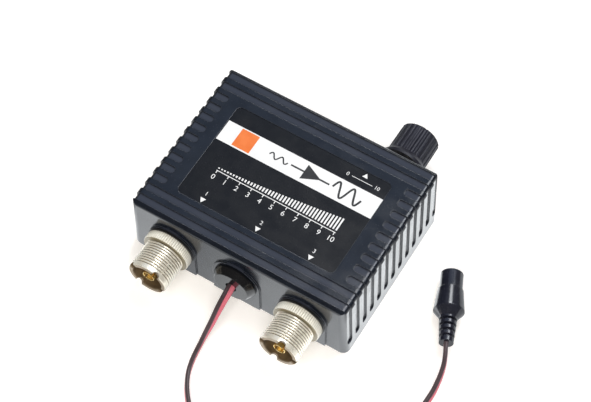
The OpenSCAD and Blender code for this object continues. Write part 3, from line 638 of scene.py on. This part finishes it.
class Ink:
    """Flat inked areas, drawn in millimetres on the label."""

    def __init__(self, lift):
        self.mesh = bmesh.new()
        self.z = (ink_level + lift) * MM

    def area(self, corners):
        self.mesh.faces.new([self.mesh.verts.new((x * MM, y * MM, self.z)) for x, y in corners])

    def bar(self, x0, y0, x1, y1):
        self.area([(x0, y0), (x1, y0), (x1, y1), (x0, y1)])

    def stroke(self, line, width):
        rims = []
        for i, (x, y) in enumerate(line):
            (xa, ya), (xb, yb) = line[max(i - 1, 0)], line[min(i + 1, len(line) - 1)]
            run = math.hypot(xb - xa, yb - ya)
            nx, ny = (ya - yb) / run * width / 2, (xb - xa) / run * width / 2
            rims.append((
                self.mesh.verts.new(((x + nx) * MM, (y + ny) * MM, self.z)),
                self.mesh.verts.new(((x - nx) * MM, (y - ny) * MM, self.z)),
            ))
        for (a, b), (c, d) in zip(rims, rims[1:]):
            self.mesh.faces.new((a, b, d, c))

    def number(self, value, x, y, size):
        letters = bpy.data.curves.new("number", "FONT")
        letters.body = str(value)
        letters.size = size * MM
        letters.align_x, letters.align_y = "CENTER", "CENTER"
        holder = bpy.data.objects.new("number", letters)
        flat = bpy.data.meshes.new_from_object(holder)
        flat.transform(Matrix.Translation((x * MM, y * MM, self.z)))
        self.mesh.from_mesh(flat)
        bpy.data.objects.remove(holder)
        bpy.data.curves.remove(letters)
        bpy.data.meshes.remove(flat)

    def piece(self, name, finish, slot):
        mesh = bpy.data.meshes.new(name)
        bmesh.ops.recalc_face_normals(self.mesh, faces=self.mesh.faces)
        for face in self.mesh.faces:
            if face.normal.z < 0:
                face.normal_flip()
        self.mesh.to_mesh(mesh)
        self.mesh.free()
        mesh.materials.append(finish)
        made = bpy.data.objects.new(name, mesh)
        bpy.context.scene.collection.objects.link(made)
        layer = made.modifiers.new("ink_layer", "SOLIDIFY")
        layer.thickness = ink_coat * MM
        layer.offset = -1
        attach(made, "case")
        print(name, "areas:", len(mesh.polygons))


# %% Ink finishes
ink_grain, ink_depth, ink_hand_marks = 4000.0, 0.001, 90.0


def ink(name, thin, full, gloss):
    finish, tree, shader = new_finish(name)
    laid = group_in(tree, grain_group, Per_Metre=ink_grain)
    touch = group_in(tree, handling_group, Per_Metre=ink_hand_marks)
    tree.links.new(blended(tree, laid["Tone"], thin, full), shader.inputs["Base Color"])
    tree.links.new(spread(tree, touch["Polish"], 0.0, 1.0, *gloss), shader.inputs["Roughness"])
    bump = place(
        tree, "ShaderNodeBump", Strength=1.0, Distance=ink_depth * MM, Height=laid["Height"]
    )
    tree.links.new(bump.outputs[0], shader.inputs["Normal"])
    return finish


white_ink = ink("white_ink", (0.82, 0.82, 0.82), (0.86, 0.86, 0.85), (0.4, 0.55))
orange_ink = ink("orange_ink", (0.78, 0.165, 0.022), (0.83, 0.205, 0.040), (0.35, 0.5))
black_ink = ink("black_ink", (0.012, 0.012, 0.013), (0.02, 0.02, 0.022), (0.35, 0.5))
print("inks:", white_ink.name, orange_ink.name, black_ink.name)

# %% White band and orange block
band_from_back, band_height = 7.15, 9.3
band_top = label_high[1] - band_from_back
band_foot = band_top - band_height
band_left, band_right = label_low[0] + 0.2, label_high[0] - 0.05
block_left, block_right, block_foot, block_top = -26.7, -19.2, 4.95, 13.2
band = Ink(ink_coat)
band.bar(band_left, band_foot, band_right, band_top)
band.piece("label_band", white_ink, "label_black")
block = Ink(2 * ink_coat)
block.bar(block_left, block_foot, block_right, block_top)
block.piece("label_block", orange_ink, "label_black")

# %% Amplifier drawing in black
wave_steps, wave_turns = 48, 2
wire_half, triangle_half = 0.35, 3.4
wire_left, triangle_base, triangle_end, wire_right = -3.2, 2.4, 8.86, 13.2
band_middle = (band_foot + band_top) / 2
wire_low, wire_high = band_middle - wire_half, band_middle + wire_half


def wave(x0, x1, height):
    return [
        (
            x0 + (x1 - x0) * i / wave_steps,
            band_middle + height * math.sin(2 * math.pi * wave_turns * i / wave_steps),
        )
        for i in range(wave_steps + 1)
    ]


drawing = Ink(2 * ink_coat)
drawing.stroke(wave(-12.5, -4.5, height=1.1), width=0.55)
drawing.area([
    (wire_left, wire_low), (triangle_base, wire_low),
    (triangle_base, band_middle - triangle_half), (triangle_end, wire_low),
    (wire_right, wire_low), (wire_right, wire_high),
    (triangle_end, wire_high), (triangle_base, band_middle + triangle_half),
    (triangle_base, wire_high), (wire_left, wire_high),
])
drawing.stroke(wave(14.6, 26.6, height=3.1), width=0.8)
drawing.piece("label_drawing", black_ink, "label_black")

# %% Level scale in white
scale_left, scale_length, line_past = -25, 50, 0.4
level_steps, level_half, level_foot = 40, 0.32, -6.2
level_low, level_rise, level_curve = -5.7, 5.2, 1.4
number_steps, number_y, number_size = 10, -10.2, 3.0
tick_half, tick_low, line_low, line_high = 0.16, -8.3, -7.3, -7.0
print_white = Ink(ink_coat)
for i in range(level_steps + 1):
    x = scale_left + scale_length * i / level_steps
    level_top = level_low + level_rise * (i / level_steps) ** level_curve
    print_white.bar(x - level_half, level_foot, x + level_half, level_top)
scale_right = scale_left + scale_length
print_white.bar(scale_left - line_past, line_low, scale_right + line_past, line_high)
for i in range(number_steps + 1):
    x = scale_left + scale_length * i / number_steps
    print_white.bar(x - tick_half, tick_low, x + tick_half, line_low)
    print_white.number(i, x, number_y, number_size)
print("bars:", level_steps + 1, "numbers:", number_steps + 1)

# %% Pointers and the mark at the knob in white
pointer_half, pointer_base, pointer_tip = 1.15, -19.7, -21.7
pointer_number_y, pointer_number_size = -17.6, 2.4
for number, x in ((1, -23), (2, 0.5), (3, 22.8)):
    print_white.area([
        (x - pointer_half, pointer_base), (x, pointer_tip), (x + pointer_half, pointer_base),
    ])
    print_white.number(number, x, pointer_number_y, pointer_number_size)

mark_x, mark_base, mark_tip = 22.75, 18.3, 20.2
travel_left, travel_right, travel_y, travel_half = 18.3, 27.0, 16.6, 0.1
zero_x, ten_x, travel_number_size = 16.6, 28.9, 2.2
print_white.area([
    (mark_x - pointer_half, mark_base), (mark_x + pointer_half, mark_base), (mark_x, mark_tip),
])
print_white.number(0, zero_x, travel_y, travel_number_size)
print_white.bar(travel_left, travel_y - travel_half, travel_right, travel_y + travel_half)
print_white.number(10, ten_x, travel_y, travel_number_size)
print_white.piece("label_scale", white_ink, "label_black")

# %% [markdown]
# ## Plated metal
# The sockets are turned brass with a warm nickel plate, the centre contacts are gilded. Turned
# metal keeps fine circular lines from the lathe, so roughness and bump follow rings around each
# socket's axis. The troughs of threads and knurls are painted darker, a painted shade with a
# little grime, and a distance from the axis decides how dark. A plate below one keeps some of the
# metal's plain colour in the light. The threads and the knurls get paler, more diffuse copies of
# the nickel, a painted reflection of the bright paper around them. Contacts and screws use the
# same recipe.

# %% Metal recipe
metal_hand_marks = 160.0


def metal(
    name, deep, bright, gloss, marks=5000.0, depth=0.004, edge=0.15,
    trough=None, shade_and_grime=None, plate=1.0,
):
    finish, tree, shader = new_finish(name)
    turned_lines = group_in(tree, lathe_group, Per_Metre=marks)
    corner = group_in(tree, edge_group, Radius=edge * MM)
    touch = group_in(tree, handling_group, Per_Metre=metal_hand_marks)
    tone = blended(tree, touch["Polish"], deep, bright)
    # Painted shade: below the trough radius the colour turns darker, with a little grime.
    if trough:
        low = spread(tree, turned_lines["Reach"], trough[0] * MM, trough[1] * MM, 1.0, 0.0)
        tone = blended(tree, low, tone, shade_and_grime)
    tree.links.new(tone, shader.inputs["Base Color"])
    uneven = calculate(
        tree, "ADD",
        calculate(tree, "MULTIPLY", turned_lines["Marks"], 0.5),
        calculate(tree, "MULTIPLY", touch["Polish"], 0.5),
    )
    tree.links.new(spread(tree, uneven, 0.25, 0.75, *gloss), shader.inputs["Roughness"])
    bump = place(
        tree, "ShaderNodeBump", Strength=1.0, Distance=depth * MM,
        Height=turned_lines["Marks"], Normal=corner["Normal"],
    )
    tree.links.new(bump.outputs[0], shader.inputs["Normal"])
    shader.inputs["Metallic"].default_value = plate
    return finish


# %% Metals
mouth_y = shell_low[1]
pale_from, pale_to = 0.15, 0.65  # the pale end of the bore, behind the mouth
nickel = metal("warm_nickel", (0.80, 0.75, 0.66), (0.88, 0.84, 0.75), (0.22, 0.32))
# The thread and knurl copies of the nickel are paler and more diffuse: painted reflection.
thread_nickel = metal(
    "thread_nickel", (0.96, 0.89, 0.74), (0.99, 0.94, 0.81), (0.22, 0.30), depth=0.001,
    edge=0.05, trough=(7.60, 7.76), shade_and_grime=(0.17, 0.13, 0.08), plate=0.5,
)
knurl_nickel = metal(
    "knurl_nickel", (0.99, 0.95, 0.82), (1.0, 0.98, 0.88), (0.28, 0.38), depth=0.001,
    edge=0.05, trough=(9.28, 9.40), shade_and_grime=(0.26, 0.22, 0.14), plate=0.1,
)
# Painted shade: the dark brown of the bore stands for the shade inside the socket.
bore_shade = metal(
    "shaded_bore", (0.10, 0.066, 0.033), (0.19, 0.128, 0.064), (0.35, 0.5), plate=0.4
)
# Painted light: the bore is painted paler just behind the mouth.
mouth_light = spread(
    bore_shade.node_tree, group_in(bore_shade.node_tree, lathe_group)["Along"],
    (mouth_y + pale_from) * MM, (mouth_y + pale_to) * MM, 1.0, 0.0,
)
tint(bore_shade, mouth_light, (0.30, 0.23, 0.15))
gilding = metal("gilding", (0.80, 0.53, 0.15), (0.93, 0.69, 0.28), (0.15, 0.3), plate=0.88)
steel = metal("bright_steel", (0.52, 0.52, 0.51), (0.66, 0.66, 0.65), (0.25, 0.4))
tin = metal("tinned_copper", (0.66, 0.64, 0.60), (0.78, 0.76, 0.72), (0.25, 0.4))
print("metals:", nickel.name, gilding.name, steel.name, tin.name)

# %% [markdown]
# ## Threaded socket barrels
# A screw thread is a groove that climbs one pitch for each turn. It could be a swept curve, but a
# lathe-like surface is simpler: rings of points around the axis, whose radius depends on how far
# along the pitch each point lies. The mouth rim has four round notches for the plug's teeth, so
# each ring starts where the notch ends at that angle. The bore and the rim get a dark brown metal
# of their own, a painted shade for the dark inside of the socket, with painted light making it
# paler at the mouth. The outer sizes come from the boxes of the solids, so the new surfaces lie
# where the plain ones were.

# %% Lathe helper
def lathe_piece(name, x, rings, angles, close=True):
    """Rings are functions of the angle that give radius and depth in millimetres."""
    points = []
    for ring in rings:
        for angle in angles:
            r, y = ring(angle)
            points.append((
                (x + r * math.cos(angle)) * MM, y * MM, (socket_z + r * math.sin(angle)) * MM
            ))
    faces = ring_faces(len(rings), len(angles), close)
    if not close:
        faces.append(tuple(range(len(angles))))
        faces.append(tuple((len(rings) - 1) * len(angles) + j for j in range(len(angles))))
    return new_piece(name, points, faces, smooth_angle=38)


def at(r, y):
    return lambda angle: (r, y)


def even_angles(count):
    return [2 * math.pi * j / count for j in range(count)]


# %% Thread and notches
def turned_size(solid):
    """The radius, front and back of a turned solid, in millimetres."""
    low, high = box_in_mm(solid)
    return (high[0] - low[0]) / 2, low[1], high[1]


ring_r, nut_y, ring_back = turned_size("receiver_ring")
thread_r, pitch, thread_depth, crest_share = 7.9375, 25.4 / 24, 0.36, 0.1
plain_mouth, run_in, mouth_bevel, notch_r = 1.5, 0.5, 0.3, 1.4


def rim_y(angle, r, first_notch):
    beside = r * math.sin((angle - first_notch + math.pi / 4) % (math.pi / 2) - math.pi / 4)
    return mouth_y + (math.sqrt(notch_r**2 - beside**2) if abs(beside) < notch_r else 0.0)


def thread_ring(share, first_notch):
    def ring(angle):
        start = rim_y(angle, thread_r, first_notch)
        y = start + share * (nut_y - start)
        climb = (y - mouth_y) / pitch + angle / (2 * math.pi)
        groove = max(0.0, (crest_share - math.cos(2 * math.pi * climb)) / (1 + crest_share))
        groove *= min(max((y - mouth_y - plain_mouth) / run_in, 0.0), 1.0)
        bevel = max(0.0, mouth_bevel - (y - mouth_y))
        return min(thread_r - thread_depth * groove, thread_r - bevel), y
    return ring


print("turns of thread:", round((nut_y - mouth_y - plain_mouth) / pitch, 1))

# %% Threaded barrels
sockets = (("antenna", -1), ("receiver", 1))
first_notch_angles = {"antenna": 56, "receiver": 76}
bore_r, nut_r, flange_thickness = 6.1975, 7.5935, 2
flange_r, flange_back = (shell_high[0] - shell_low[0]) / 2, shell_high[1]
flange_y = flange_back - flange_thickness
step_y, bore_bevel_y, bore_bevel_r = 0.02, 0.2, 0.15
barrel_rows, barrel_sides = 144, 144
for side, sign in sockets:
    notch = math.radians(first_notch_angles[side])
    outer_rings = [thread_ring(k / barrel_rows, notch) for k in range(barrel_rows + 1)]
    outer_rings += [
        at(nut_r, nut_y + step_y), at(nut_r, flange_y),
        at(flange_r, flange_y), at(flange_r, flange_back),
    ]
    inner_rings = [
        at(bore_r, flange_back),
        lambda angle: (bore_r, rim_y(angle, bore_r, notch) + bore_bevel_y),
        lambda angle: (bore_r + bore_bevel_r, rim_y(angle, bore_r, notch)),
    ]
    barrel = lathe_piece(
        side + "_barrel", sign * socket_x, outer_rings + inner_rings, even_angles(barrel_sides)
    )
    barrel.data.materials.append(thread_nickel)
    barrel.data.materials.append(bore_shade)
    for face in barrel.data.polygons:
        face.material_index = int(face.index // barrel_sides >= len(outer_rings))
    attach(barrel, "case")
    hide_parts(side + "_shell")
    print(barrel.name, "faces:", len(barrel.data.polygons))

# %% [markdown]
# ## Knurled ring nuts
# Each socket is held by a ring nut with a straight knurl: fine ribs that run along the axis so
# that fingers can grip it. Small wedges could be copied around a ring, but the lathe helper
# needs less: the rim's radius rises and falls with the angle, and the ribs fade out towards
# both bevelled edges as a knurling wheel leaves them.

# %% Ring nuts
ribs, rib_depth, rib_points = 64, 0.32, 6
ring_bevel, ring_gap = 0.4, 0.05
ring_bore = nut_r + ring_gap
faint, faint_y, full_y, faint_drop = 0.45, 0.22, 0.55, 0.7


def knurl(share, y):
    def ring(angle):
        rise = math.sqrt(max(0.5 + 0.5 * math.cos(ribs * angle), 0.0))
        bevel = (1 - share) * ring_bevel * faint_drop
        return ring_r - rib_depth * share * (1 - rise) - bevel, y
    return ring


nut_rings = [
    at(ring_bore, nut_y), at(ring_r - ring_bevel, nut_y),
    knurl(faint, nut_y + faint_y), knurl(1, nut_y + full_y),
    knurl(1, ring_back - full_y), knurl(faint, ring_back - faint_y),
    at(ring_r - ring_bevel, ring_back), at(ring_bore, ring_back),
]
nut_angles = even_angles(ribs * rib_points)
for side, sign in sockets:
    nut = lathe_piece(side + "_knurled_nut", sign * socket_x, nut_rings, nut_angles)
    nut.data.materials.append(knurl_nickel)
    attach(nut, "case")
    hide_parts(side + "_ring")
    print(nut.name, "faces:", len(nut.data.polygons))

# %% [markdown]
# ## Slit centre contacts
# The centre of each socket is a gilded tube with four saw cuts, whose fingers spring onto the
# plug's pin. A boolean modifier could cut the tube, but the way of the notches keeps the mesh
# clean: within a cut, the rings start further back. Two angles lie close together at each side
# of a cut, so its walls stand straight.

# %% Contacts
contact_r, contact_y, stem_end = turned_size("receiver_contact")
contact_bore, stem_r, contact_length = 2.02, 1.6, 8.5
contact_back = contact_y + contact_length
bore_length, smooth_from, lip_y, lip_r = 8, 6.2, 0.25, 0.12
cut_half, cut_length, contact_sides = 0.3, 5.5, 56
cut_angle = math.asin(cut_half / contact_r)
cut_middles = [math.radians(a) for a in (45, 135, 225, 315)]
# Shares of the cut's half width: in the cut, just beside it, and clear of both
in_cut, beside_cut, clear_of_cut = 1.0, 1.03, 1.1


def near_cut(angle, share):
    return any(abs(angle - m) <= share * cut_angle for m in cut_middles)


contact_angles = sorted(
    [m + s * cut_angle * k for m in cut_middles for s in (-1, 1) for k in (in_cut, beside_cut)]
    + [a for a in even_angles(contact_sides) if not near_cut(a, clear_of_cut)]
)


def finger_y(angle):
    return contact_y + (cut_length if near_cut(angle, (in_cut + beside_cut) / 2) else 0.0)


contact_rings = [
    at(contact_bore, contact_y + bore_length), lambda a: (contact_bore, finger_y(a) + lip_y),
    lambda a: (contact_bore + lip_r, finger_y(a)), lambda a: (contact_r - lip_r, finger_y(a)),
    lambda a: (contact_r, finger_y(a) + lip_y), at(contact_r, contact_y + smooth_from),
    at(contact_r, contact_back), at(stem_r, contact_back), at(stem_r, stem_end),
]
for side, sign in sockets:
    fingers = lathe_piece(
        side + "_fingers", sign * socket_x, contact_rings, contact_angles, close=False
    )
    fingers.data.materials.append(gilding)
    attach(fingers, "case")
    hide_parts(side + "_contact")
    print(fingers.name, "faces:", len(fingers.data.polygons))

# %% [markdown]
# ## The other outside pieces
# The insulators are brown resin, the washers rubber, the bushing a polished black plug, the knob
# a dull moulding and the jack a glossier one. The solids have the right shapes, so they only get
# finishes, each with its own grain and gloss.

# %% Resin, rubber, bushing, knob and jack
brown_resin = plastic(
    "brown_resin", (0.15, 0.083, 0.030), (0.25, 0.145, 0.055), (0.3, 0.45),
    grain=0.3, depth=0.01, edge=0.2,
)
dress(brown_resin, "antenna_insulator", "receiver_insulator")
washer_rubber = plastic(
    "washer_rubber", (0.008, 0.008, 0.008), (0.016, 0.016, 0.016), (0.28, 0.42),
    grain=0.4, depth=0.01, edge=0.3,
)
dress(washer_rubber, "antenna_washer", "receiver_washer")
bushing_gloss = plastic(
    "bushing_gloss", (0.004, 0.004, 0.005), (0.008, 0.008, 0.009), (0.10, 0.18),
    grain=0.8, depth=0.004, edge=0.3, ior=1.55, edge_highlight=0.05, specks=0.05,
)
dress(bushing_gloss, "cord_bushing")
knob_plastic = plastic(
    "knob_plastic", (0.009, 0.009, 0.017), (0.016, 0.016, 0.028), (0.40, 0.55),
    grain=0.5, depth=0.02, edge=0.3, edge_highlight=0.1, specks=0.1,
)
dress(knob_plastic, "gain_knob")
jack_plastic = plastic(
    "jack_plastic", (0.010, 0.011, 0.018), (0.018, 0.019, 0.030), (0.16, 0.25),
    grain=0.6, depth=0.01, edge=0.3, ior=1.7, edge_highlight=0.1, specks=0.1,
)
dress(jack_plastic, "jack_body")
print("outside pieces dressed")

# %% [markdown]
# ## Insulation of the lead
# One strand is black and the other red. Soft vinyl is smooth and a little waxy. Thin red vinyl
# also lets some light through, so its colour is mixed a little pink.

# %% Lead finishes
black_vinyl = plastic(
    "black_vinyl", (0.058, 0.038, 0.041), (0.086, 0.058, 0.063), (0.3, 0.42),
    grain=0.5, depth=0.006, edge=0.1, edge_highlight=0.1, specks=0.05,
)
red_vinyl = plastic(
    "red_vinyl", (0.66, 0.14, 0.18), (0.76, 0.20, 0.25), (0.3, 0.42),
    grain=0.5, depth=0.006, edge=0.1, edge_highlight=0.1, specks=0.0,
)
twin_lead.data.materials.append(black_vinyl)
twin_lead.data.materials.append(red_vinyl)
for face in twin_lead.data.polygons:
    corners = [v % lead_sides for v in face.vertices]
    face.material_index = 0 if min(corners) < arc_points - 1 and max(corners) < arc_points else 1
print("red faces:", sum(face.material_index for face in twin_lead.data.polygons))

# %% [markdown]
# ## Pieces inside the case and the jack
# The board, its parts, the gain control and the jack's contacts stay hidden at rest, but they are
# part of the object and show when the cover is taken off. They use the same two recipes.

# %% Inside finishes
board_green = plastic(
    "board_green", (0.012, 0.075, 0.030), (0.022, 0.120, 0.050), (0.25, 0.4),
    grain=0.9, depth=0.01, edge=0.2,
)
dress(board_green, "circuit_board")
chip_epoxy = plastic(
    "chip_epoxy", (0.014, 0.014, 0.015), (0.030, 0.030, 0.032), (0.45, 0.6),
    grain=0.15, depth=0.02, edge=0.15,
)
dress(chip_epoxy, "amplifier_chip", "small_resistors")
ferrite = plastic(
    "ferrite", (0.045, 0.035, 0.030), (0.090, 0.070, 0.060), (0.5, 0.7),
    grain=0.3, depth=0.04, edge=0.25,
)
dress(ferrite, "choke_coil")
capacitor_sleeve = plastic(
    "capacitor_sleeve", (0.015, 0.022, 0.070), (0.030, 0.042, 0.120), (0.2, 0.35),
    grain=0.8, depth=0.006, edge=0.3,
)
dress(capacitor_sleeve, "supply_capacitor")
ceramic = plastic(
    "ceramic", (0.34, 0.22, 0.12), (0.46, 0.32, 0.19), (0.35, 0.5),
    grain=0.2, depth=0.01, edge=0.15,
)
dress(ceramic, "small_capacitors")
wiper_board = plastic(
    "wiper_board", (0.11, 0.060, 0.026), (0.18, 0.105, 0.050), (0.4, 0.55),
    grain=0.4, depth=0.02, edge=0.2,
)
dress(wiper_board, "pot_wiper")
dress(red_vinyl, "supply_leads")
screw_black = metal("blackened_screw", (0.055, 0.055, 0.060), (0.11, 0.11, 0.115), (0.3, 0.45))
dress(screw_black, "cover_screws")
dress(steel, "board_screws", "pot_body", "pot_washer", "jack_sleeve", "jack_pin")
dress(tin, "antenna_link", "receiver_link", "control_leads", "antenna_lug", "receiver_lug")
dress(nickel, "pot_bushing", "pot_nut", "pot_terminals", "pot_shaft")
print("inside pieces dressed")
